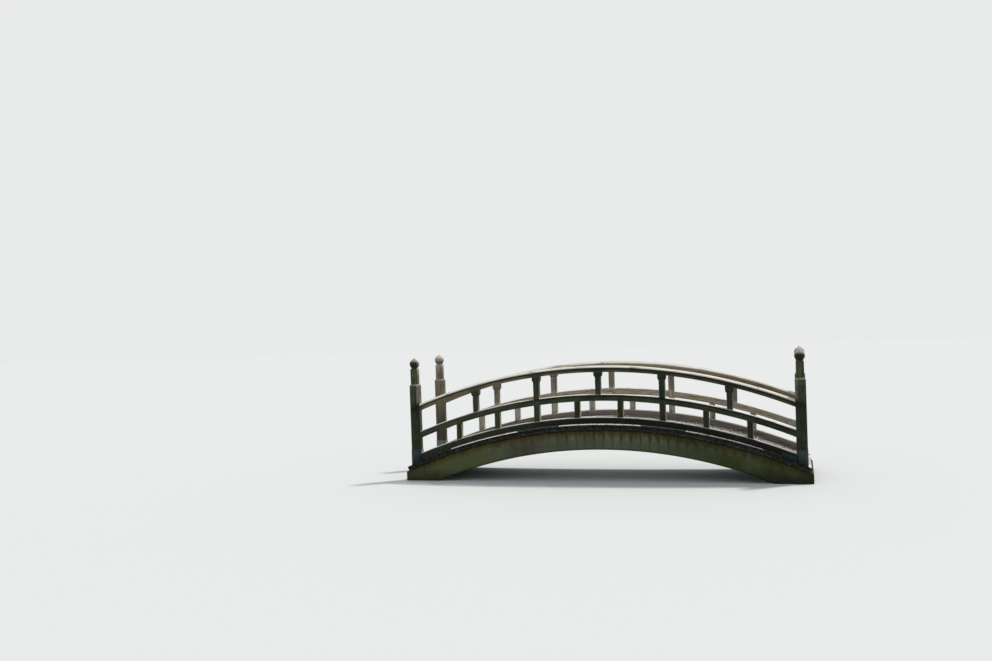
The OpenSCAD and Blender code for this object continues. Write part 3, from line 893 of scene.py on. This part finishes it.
def weathered_board(index, settle):
    name = f"board_{index}"
    luck = random.Random(name)
    bm = sawn_timber(
        name, BOARD_LENGTH, BOARD_WIDTH, BOARD_THICKNESS, arris=0.005, cells=(10, 5), step=0.06
    )
    grain = bm.verts.layers.float_vector["grain"]
    wear(bm, depth=0.0015, dent=0.005)
    short = [luck.uniform(0.0, SHORT), luck.uniform(0.0, SHORT)]
    for vert in bm.verts:
        end = abs(vert.co.x) / (BOARD_LENGTH / 2)
        # Feet hollow the middle, and rot eats the last centimetre unevenly
        if vert.co.z > -0.01:
            vert.co.z -= HOLLOWED * max(0.0, 1 - end * 1.6)
        if end > 0.985:
            bite = noise.fractal(vert[grain] * 26, 1.0, 2.0, 3)
            loss = short[0 if vert.co.x < 0 else 1] + ROTTED * max(0.0, bite + 0.2)
            vert.co.x -= math.copysign(loss, vert.co.x)
    tone = bm.verts.layers.float.new("board")
    value = luck.random()
    for vert in bm.verts:
        vert[tone] = value
    lay_on_arch(bm, index, settle)
    return bm


deck = new_cluster()
deck.verts.layers.float.new("board")
board_numbers = range(-LAST_BOARD, LAST_BOARD + 1)
settled = {index: random.Random(index).uniform(0.0, SETTLED) for index in board_numbers}
for index, settle in settled.items():
    join_in(deck, weathered_board(index, settle))
finish_piece(deck, "deck_boards", ["deck_planks"], boards_wood)
print("Boards:", len(settled), "with", triangles["deck_boards"], "triangles")

# %% [markdown]
# The nails of the deck.
# Every board is held by three pairs of copper nails with domed heads, near both railings
# and in the middle. A head is half a small sphere, flattened to a dome, and one loop
# sets it out on all the boards.

# %% Copper nails
NAIL_RADIUS = 0.007
NAIL_RISE = 0.003
# As deep as wear and feet can hollow a board at most, so that no head stands clear of it
NAIL_SEAT = -0.0035
NAIL_PLACES = [(along, across) for along in (-0.50, 0.0, 0.50) for across in (-0.042, 0.042)]


def domed_head(bm, place, facing, radius=NAIL_RADIUS, rise=NAIL_RISE):
    """Adds a domed nail head that stands on a surface and faces away from it."""
    made = bmesh.ops.create_uvsphere(bm, u_segments=10, v_segments=6, radius=1)["verts"]
    lower = [vert for vert in made if vert.co.z < -0.01]
    kept = [vert for vert in made if vert.co.z >= -0.01]
    bmesh.ops.delete(bm, geom=lower, context="VERTS")
    turn_out = Vector(facing).to_track_quat("Z", "Y").to_matrix().to_4x4()
    flatten = Matrix.Diagonal((radius, radius, rise, 1))
    bmesh.ops.transform(bm, matrix=Matrix.Translation(place) @ turn_out @ flatten, verts=kept)


nails = bmesh.new()
for index, settle in settled.items():
    board_nails = bmesh.new()
    for along, across in NAIL_PLACES:
        domed_head(board_nails, (along, across, NAIL_SEAT), (0, 0, 1))
    lay_on_arch(board_nails, index, settle)
    join_in(nails, board_nails)
finish_piece(nails, "deck_nails", material=copper)
print("Nails in the deck:", len(settled) * len(NAIL_PLACES))

# %% [markdown]
# The long rails.
# The ground sill, the mid rail and the handrail are bent to the deck's curve. Each
# starts as a straight timber that is a little too long, is worn, bent, and then
# trimmed upright where it meets a post or a newel. The handrail's top is rounded
# first, by lowering its points onto an arc across the rail. Rain has worn the tops of
# the other two to a much flatter arc, which is made in the same way.

# %% Rails
RAIL_WIDTH = box_width("back_mid_rail", Y)
SILL_HEIGHT = 0.106
MID_RAIL_HEIGHT = 0.104
HANDRAIL_WIDTH = box_width("back_handrail", Y)
HANDRAIL_HEIGHT = 0.106
HANDRAIL_CROWN = 0.036
WORN_CROWN = 0.007
LET_IN = 0.01
RAIL_END = NEWEL_INNER + LET_IN
POST_INNER, POST_OUTER = POST_STATION - POST_SIDE / 2, POST_STATION + POST_SIDE / 2
# The mid rail is in three lengths, between the newels and the posts
MID_RAIL_LENGTHS = ((-RAIL_END, -POST_OUTER), (-POST_INNER, POST_INNER), (POST_OUTER, RAIL_END))


def round_top(bm, width, height, crown):
    """Rounds the top of a rail to an arc across it, which is crown high."""
    half = width / 2
    radius = (half ** 2 + crown ** 2) / (2 * crown)
    for vert in bm.verts:
        across = min(abs(vert.co.y), half)
        drop = radius - math.sqrt(radius ** 2 - across ** 2)
        share = 1 + vert.co.z / height
        vert.co.z -= drop * share


def bent_rail(name, lift, width, height, from_x, to_x, y, crown=0.0):
    """One length of rail between two stations, bent to the deck's curve."""
    start = WALK_RADIUS * math.asin(from_x / WALK_RADIUS)
    end = WALK_RADIUS * math.asin(to_x / WALK_RADIUS)
    spare = 0.06
    cells = (12, 6) if crown else (5, 4)
    bm = sawn_timber(
        name, end - start + 2 * spare, width, height,
        arris=0.007, cells=cells, step=0.045, low_arris=0.0025,
    )
    if crown:
        round_top(bm, width, height, crown)
    wear(bm, depth=0.002)
    shift(bm, ((start + end) / 2, 0, 0))
    bend(bm, lift)
    trim(bm, (from_x, 0, 0), (-1, 0, 0))
    trim(bm, (to_x, 0, 0), (1, 0, 0))
    shift(bm, (0, y, 0))
    return bm


for side_name, side in SIDES.items():
    y = side * RAIL_Y
    sill = bent_rail(
        side_name + "_sill", SILL_LIFT + WORN_CROWN / 2, RAIL_WIDTH, SILL_HEIGHT + WORN_CROWN / 2,
        -NEWEL_INNER, NEWEL_INNER, y, WORN_CROWN,
    )
    finish_piece(sill, side_name + "_sill_timber", [side_name + "_ground_sill"])
    handrail = bent_rail(
        side_name + "_handrail", HANDRAIL_LIFT, HANDRAIL_WIDTH, HANDRAIL_HEIGHT,
        -RAIL_END, RAIL_END, y, HANDRAIL_CROWN,
    )
    finish_piece(handrail, side_name + "_handrail_timber", [side_name + "_handrail"])
    mid = new_cluster()
    for part, (from_x, to_x) in enumerate(MID_RAIL_LENGTHS):
        join_in(mid, bent_rail(
            f"{side_name}_mid_{part}", MID_RAIL_LIFT + WORN_CROWN / 2, RAIL_WIDTH,
            MID_RAIL_HEIGHT + WORN_CROWN / 2, from_x, to_x, y, WORN_CROWN,
        ))
    finish_piece(mid, side_name + "_mid_rail_timber", [side_name + "_mid_rail"])
print("Triangles in the rails:", made_so_far("rail", "sill"))

# %% [markdown]
# The packing blocks.
# The sill doesn't lie on the boards. Short blocks under the posts and at the newels
# lift it, so that rain runs off the deck through the slots between them. The
# blocks are bent timbers too, a hair narrower than the sill.

# %% Packing blocks
SLOT_HEIGHT = SILL_LIFT - SILL_HEIGHT
POST_BLOCK_LENGTH = 0.670
NEWEL_BLOCK_REACH = 0.570
BLOCK_INSET = 0.0015
# The blocks go this far into the boards and into the sill, so that no light shows there
BLOCK_BITE = 0.002

for side_name, side in SIDES.items():
    blocks = new_cluster()
    for end in ENDS.values():
        for from_x, to_x in (
            (POST_STATION - POST_BLOCK_LENGTH / 2, POST_STATION + POST_BLOCK_LENGTH / 2),
            (NEWEL_STATION - NEWEL_BLOCK_REACH, NEWEL_INNER),
        ):
            low_x, high_x = sorted((end * from_x, end * to_x))
            name = f"{side_name}_block_{low_x}"
            join_in(blocks, bent_rail(
                name, SLOT_HEIGHT + BLOCK_BITE, RAIL_WIDTH - 2 * BLOCK_INSET,
                SLOT_HEIGHT + 2 * BLOCK_BITE, low_x, high_x, side * RAIL_Y,
            ))
    finish_piece(blocks, side_name + "_packing_blocks", [side_name + "_sill_blocks"])
print("Drain slots are", round(SLOT_HEIGHT * 1000), "mm high")

# %% [markdown]
# The uprights.
# Full posts stand on the sill, lower struts fill the space up to the mid rail, and
# upper struts stand on the mid rail. All are the same sawn timber turned upright.
# The foot is cut to the slope of the rail that it stands on, and 7 mm of it is let into
# that rail, so that no gap shows at the edges of its worn top.

# %% Uprights
LOWER_STRUT_STATIONS = (0.344, 1.660, 2.312)
BEARING_HEIGHT = 0.075
BEARING_LENGTH = 0.128
BEDDING = 0.007
UPRIGHT = Matrix.Rotation(-math.pi / 2, 4, "Y")
FULL_UPRIGHTS = (
    ("post_left", POST_SIDE, -POST_STATION, SILL_LIFT),
    ("post_right", POST_SIDE, POST_STATION, SILL_LIFT),
    ("upper_strut_left", STRUT_SIDE, -UPPER_STRUT_STATION, MID_RAIL_LIFT),
    ("upper_strut_centre", STRUT_SIDE, 0.0, MID_RAIL_LIFT),
    ("upper_strut_right", STRUT_SIDE, UPPER_STRUT_STATION, MID_RAIL_LIFT),
)


def bearing_foot_z(x):
    """Height of the underside of the bearing block at a station."""
    outer = abs(x) + BEARING_LENGTH / 2
    return curve_z(HANDRAIL_LIFT, outer, HANDRAIL_HEIGHT) - BEARING_HEIGHT


def standing_timber(name, side_length, x, y, foot_lift, head_z, head_slope=0.0):
    """An upright timber at a station: its foot follows the rail below it."""
    foot_z = curve_z(foot_lift, x) - BEDDING
    spare = 0.05
    length = head_z - foot_z + 2 * spare
    bm = sawn_timber(name, length, side_length, side_length, arris=0.003, cells=(5, 5))
    wear(bm, depth=0.001)
    shift(bm, (0, 0, side_length / 2))
    bmesh.ops.transform(bm, matrix=UPRIGHT, verts=bm.verts)
    shift(bm, (x, y, (foot_z + head_z) / 2))
    trim(bm, (x, y, foot_z), (curve_slope(x), 0, -1))
    trim(bm, (x, y, head_z), (-head_slope, 0, 1))
    return bm


for side_name, side in SIDES.items():
    y = side * RAIL_Y
    for part, side_length, x, foot_lift in FULL_UPRIGHTS:
        name = f"{side_name}_{part}"
        timber = standing_timber(name, side_length, x, y, foot_lift, bearing_foot_z(x) + BEDDING)
        finish_piece(timber, name + "_timber", [name])
    lower = new_cluster()
    for station in LOWER_STRUT_STATIONS:
        for x in (-station, station):
            head_z = curve_z(MID_RAIL_LIFT, x, MID_RAIL_HEIGHT) + BEDDING
            join_in(lower, standing_timber(
                f"{side_name}_lower_{x}", STRUT_SIDE, x, y, SILL_LIFT, head_z, curve_slope(x)
            ))
    finish_piece(lower, side_name + "_lower_strut_timbers", [side_name + "_lower_struts"])
print("Triangles in the uprights:", made_so_far("strut", "post"))

# %% [markdown]
# Bearing blocks.
# A block on the head of each post and upper strut spreads the load of the handrail.
# Its lower part is drawn in to the post. It is a short timber, and the points of its
# lower rows are pulled in along both directions.

# %% Bearing blocks
BEARING_FOOT = max(POST_SIDE, STRUT_SIDE) + 0.002
BEARING_WAIST = 0.4
BEARING_STATIONS = (-UPPER_STRUT_STATION, -POST_STATION, 0.0, POST_STATION, UPPER_STRUT_STATION)


def bearing_block(name, x, y):
    low = bearing_foot_z(x)
    outer = curve_z(HANDRAIL_LIFT, abs(x) + BEARING_LENGTH / 2, HANDRAIL_HEIGHT)
    inner = curve_z(HANDRAIL_LIFT, abs(x) - BEARING_LENGTH / 2, HANDRAIL_HEIGHT)
    spare = 0.01
    high = inner + spare
    width = HANDRAIL_WIDTH - 2 * BLOCK_INSET
    bm = sawn_timber(
        name, BEARING_LENGTH, width, high - low, arris=0.004, cells=(6, 6), step=0.012
    )
    wear(bm, depth=0.001, dent=0.003)
    for vert in bm.verts:
        rise = (vert.co.z + high - low) / (BEARING_WAIST * BEARING_HEIGHT)
        if rise < 1:
            vert.co.x *= 1 - (1 - BEARING_FOOT / BEARING_LENGTH) * (1 - max(0.0, rise))
            vert.co.y *= 1 - (1 - BEARING_FOOT / width) * (1 - max(0.0, rise))
    shift(bm, (x, y, high))
    trim(bm, (x, y, (outer + inner) / 2 + BEDDING), (-curve_slope(x), 0, 1))
    return bm


for side_name, side in SIDES.items():
    blocks = new_cluster()
    for x in BEARING_STATIONS:
        join_in(blocks, bearing_block(f"{side_name}_bearing_{x}", x, side * RAIL_Y))
    finish_piece(blocks, side_name + "_bearing_timbers", [side_name + "_bearing_blocks"])
print("Bearing blocks:", len(SIDES) * len(BEARING_STATIONS))

# %% [markdown]
# Newels.
# A newel is one heavy timber with its corners cut off. Above the handrail it slopes in
# to a shoulder and goes on as a narrower neck, whose corners are cut off less. That is
# four sections, one above the other, and bridging each to the next makes all the faces.
# The arrises are then rounded a little.

# %% Newel bodies
NEWEL_CHAMFER = 0.028
SHOULDER_HEIGHT = 1.295
SHOULDER_SLOPE = 0.024
NECK_SIDE = 0.122
NECK_CHAMFER = 0.014
NECK_HEIGHT = 1.546
CROSS_CUT = 0.05
NEWEL_SPARE = 0.05
NEWEL_ARRIS = 0.003
SLIGHT_TURN = 0.3
NEWEL_SECTIONS = (
    (-NEWEL_SPARE, NEWEL_SIDE, NEWEL_CHAMFER),
    (SHOULDER_HEIGHT - SHOULDER_SLOPE, NEWEL_SIDE, NEWEL_CHAMFER),
    (SHOULDER_HEIGHT, NECK_SIDE, NECK_CHAMFER),
    (NECK_HEIGHT, NECK_SIDE, NECK_CHAMFER),
)


def chamfered_square(bm, z, side, chamfer):
    """Draws a square with its corners cut off, and returns its edges."""
    half, inner = side / 2, side / 2 - chamfer
    pair = Vector((half, -inner, z)), Vector((half, inner, z))
    verts = [
        bm.verts.new(Matrix.Rotation(turn * math.pi / 2, 3, "Z") @ point)
        for turn in range(4) for point in pair
    ]
    return [bm.edges.new(ends) for ends in zip(verts, verts[1:] + verts[:1])]


def newel(name, end, y):
    bm = bmesh.new()
    sections = [chamfered_square(bm, *section) for section in NEWEL_SECTIONS]
    for lower, upper in zip(sections, sections[1:]):
        bmesh.ops.bridge_loops(bm, edges=lower + upper)
    bmesh.ops.holes_fill(bm, edges=sections[0] + sections[-1], sides=0)
    bmesh.ops.recalc_face_normals(bm, faces=bm.faces)
    arrises = [e for e in bm.edges if e.calc_face_angle() > SLIGHT_TURN]
    bmesh.ops.bevel(
        bm, geom=arrises, offset=NEWEL_ARRIS, segments=2, profile=0.5, affect="EDGES", material=-1
    )
    # Cross cuts give the wear something to move
    for cut in range(1, int(NECK_HEIGHT / CROSS_CUT) + 1):
        whole = bm.verts[:] + bm.edges[:] + bm.faces[:]
        bmesh.ops.bisect_plane(bm, geom=whole, plane_co=(0, 0, cut * CROSS_CUT), plane_no=(0, 0, 1))
    mark_grain(bm, name, (2, 0, 1))
    wear(bm, depth=0.0015, dent=0.0)
    trim(bm, (0, 0, -BEDDING), (curve_slope(end * NEWEL_STATION), 0, -1))
    shift(bm, (end * NEWEL_STATION, y, DECK_AT_NEWEL))
    return bm


for side_name, side in SIDES.items():
    for end_name, end in ENDS.items():
        name = f"{side_name}_newel_{end_name}"
        timber = newel(name, end, side * RAIL_Y)
        finish_piece(timber, name + "_timber", [name])
print("Triangles in the newels:", made_so_far("newel"))

# %% [markdown]
# Finials.
# Each newel carries a turned ball that rises to a short point. A lathe shape is made
# by spinning half its outline round the post's axis. The outline is a short stem, most
# of a circle and a hollow curve that steepens up to the tip: together, an ogee.

# %% Turned finials
BALL_RADIUS = box_width("back_finial_right", X) / 2
BALL_HEIGHT = 0.080
STEM_RADIUS = 0.054
TIP_RISE = 0.017
TIP_RADIUS = 0.003
STEM_SUNK = 0.004
OGEE_START = math.radians(35)
OGEE_REACH = 0.47
BALL_STEPS = 22
OGEE_STEPS = 8
TURNS = 56


def finial_outline():
    """Half the outline of the finial, from the foot of the stem to the tip."""
    stem_angle = math.pi - math.asin(STEM_RADIUS / BALL_RADIUS)
    outline = [Vector((STEM_RADIUS, 0, -STEM_SUNK))]
    for step in range(BALL_STEPS + 1):
        angle = stem_angle + (OGEE_START - stem_angle) * step / BALL_STEPS
        outline.append(BALL_RADIUS * Vector((math.sin(angle), 0, math.cos(angle))))
        outline[-1].z += BALL_HEIGHT
    leave = outline[-1].copy()
    reach = OGEE_REACH * BALL_RADIUS
    pull = leave + reach * Vector((-math.cos(OGEE_START), 0, math.sin(OGEE_START)))
    tip = Vector((TIP_RADIUS, 0, BALL_HEIGHT + BALL_RADIUS + TIP_RISE))
    for step in range(1, OGEE_STEPS + 1):
        share = step / OGEE_STEPS
        outline.append(
            leave * (1 - share) ** 2 + pull * 2 * share * (1 - share) + tip * share ** 2
        )
    outline.append(Vector((0, 0, tip.z)))
    return outline


def finial(name, end, y):
    bm = bmesh.new()
    verts = [bm.verts.new(point) for point in finial_outline()]
    edges = [bm.edges.new(pair) for pair in zip(verts, verts[1:])]
    bmesh.ops.spin(
        bm, geom=verts + edges, cent=(0, 0, 0), axis=(0, 0, 1), angle=2 * math.pi,
        steps=TURNS, use_merge=True, use_duplicate=False,
    )
    bmesh.ops.remove_doubles(bm, verts=bm.verts, dist=0.0002)
    bmesh.ops.holes_fill(bm, edges=[e for e in bm.edges if e.is_boundary], sides=0)
    bmesh.ops.recalc_face_normals(bm, faces=bm.faces)
    mark_grain(bm, name, (2, 0, 1))
    wear(bm, depth=0.0015, dent=0.0)
    top = DECK_AT_NEWEL + NECK_HEIGHT
    shift(bm, (end * NEWEL_STATION, y, top))
    return bm


for side_name, side in SIDES.items():
    for end_name, end in ENDS.items():
        name = f"{side_name}_finial_{end_name}"
        turning = finial(name, end, side * RAIL_Y)
        finish_piece(turning, name + "_turning", [name])
print("Triangles in the finials:", made_so_far("finial"))

# %% [markdown]
# The copper shoes.
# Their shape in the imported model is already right, so the model's own pieces stay and
# only take the copper finish. What they lack is the row of tacks that holds the sheet
# along its upper edge, on all four faces of the newel and along the wing on the sill.

# %% Shoes and their tacks
SHOE_FACE = box_width("back_shoe_right", Y) / 2
SHOE_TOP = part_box("back_shoe_right")[1][Z]
WING_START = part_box("back_shoe_right")[0][X]
WING_TOP_LIFT = SLOT_HEIGHT + SILL_HEIGHT / 2
TACK_RADIUS, TACK_RISE = 0.004, 0.002
TACK_INSET = 0.012
TACK_SPACING = 0.045
WING_TACKS = 4
WING_MARGIN = 0.02
# The outside of the wing, from the face of the sill
WING_FACE = 0.0036

for name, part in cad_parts.items():
    if "shoe" in name:
        part.data.materials.clear()
        part.data.materials.append(copper)

for side_name, side in SIDES.items():
    for end_name, end in ENDS.items():
        tacks = bmesh.new()
        newel_foot = Vector((end * NEWEL_STATION, side * RAIL_Y, SHOE_TOP - TACK_INSET))
        for quarter in range(4):
            face_turn = Matrix.Rotation(quarter * math.pi / 2, 3, "Z")
            facing = face_turn @ Vector((1, 0, 0))
            for across in (-TACK_SPACING, 0.0, TACK_SPACING):
                place = newel_foot + face_turn @ Vector((SHOE_FACE, across, 0))
                domed_head(tacks, place, facing, TACK_RADIUS, TACK_RISE)
        wing_y = side * (RAIL_Y + RAIL_WIDTH / 2 + WING_FACE)
        wing_step = (NEWEL_INNER - WING_START - 2 * WING_MARGIN) / (WING_TACKS - 1)
        for tack in range(WING_TACKS):
            x = WING_START + WING_MARGIN + tack * wing_step
            place = (end * x, wing_y, curve_z(WING_TOP_LIFT, x) - TACK_INSET)
            domed_head(tacks, place, (0, side, 0), TACK_RADIUS, TACK_RISE)
        name = f"{side_name}_shoe_tacks_{end_name}"
        finish_piece(tacks, name, material=copper)
print("Triangles in the tacks:", made_so_far("tacks"))

# %% [markdown]
# Floor and light.
# The bridge stands on a plain pale floor. The photograph's sun is high, behind the
# bridge and to the right, so a broad soft sun comes from there and an even sky fills the
# shade. The floor looks pale to the camera but sends less light back up than it shows,
# because hardly any light reaches the real bridge from below.

# %% Floor
FLOOR_SIZE = 120
BACKGROUND = "e9eaea"


def seen_directly(node):
    """1 for a ray from the camera or one that metal or glass sends on, and 0 for soft light."""
    rays = node("LightPath", out=None).outputs
    seen = rays["Is Camera Ray"]
    for sent_on in ("Is Glossy Ray", "Is Transmission Ray"):
        seen = node("Math", (seen, rays[sent_on]), operation="MAXIMUM")
    return seen


def pale_floor():
    material, shader, node = new_material("pale_floor", 0.2)
    colour = node("Mix", {0: seen_directly(node), UNDER: "8a8a86", OVER: "d9dad9"}, **COLOURS)
    grit = node("TexNoise", {"Vector": node("TexCoord", out="Object"), "Scale": 40, "Detail": 2})
    roughness = node("MapRange", (grit, 0.3, 0.7, 0.93, 0.97))
    finish_shader(node, shader, colour, roughness, grit, 0.0005)
    return material


floor_bm = bmesh.new()
bmesh.ops.create_grid(floor_bm, x_segments=1, y_segments=1, size=FLOOR_SIZE / 2)
floor_mesh = bpy.data.meshes.new("floor")
floor_bm.to_mesh(floor_mesh)
floor_bm.free()
floor_mesh.materials.append(pale_floor())
floor = bpy.data.objects.new("floor", floor_mesh)
bpy.context.scene.collection.objects.link(floor)
print("Floor laid,", FLOOR_SIZE, "m wide")

# %% Sun and sky
SUN_STRENGTH = 2.2
SUN_SPREAD = math.radians(6)
SUN_FROM = Vector((0.42, 0.33, 1.0))
SKY_STRENGTH = 0.70

sun_data = bpy.data.lights.new("sun", "SUN")
sun_data.energy = SUN_STRENGTH
sun_data.angle = SUN_SPREAD
sun_data.color = (1.0, 0.97, 0.92)
sun = bpy.data.objects.new("sun", sun_data)
sun.rotation_euler = SUN_FROM.to_track_quat("Z", "Y").to_euler()
bpy.context.scene.collection.objects.link(sun)

world = bpy.data.worlds.new("sky")
world.use_nodes = True
bpy.context.scene.world = world
node = partial(add_node, world.node_tree)
seen = seen_directly(node)
sky_colour = node("Mix", {0: seen, UNDER: "e6ecf2", OVER: BACKGROUND}, **COLOURS)
strength = node("MapRange", {0: seen, 3: SKY_STRENGTH, 4: 1.0})
background = world.node_tree.nodes["Background"]
world.node_tree.links.new(sky_colour, background.inputs["Color"])
world.node_tree.links.new(strength, background.inputs["Strength"])
print("Sun", SUN_STRENGTH, "and sky", SKY_STRENGTH)

# %% Sizes, and the end
print("Triangles in all:", sum(triangles.values()))
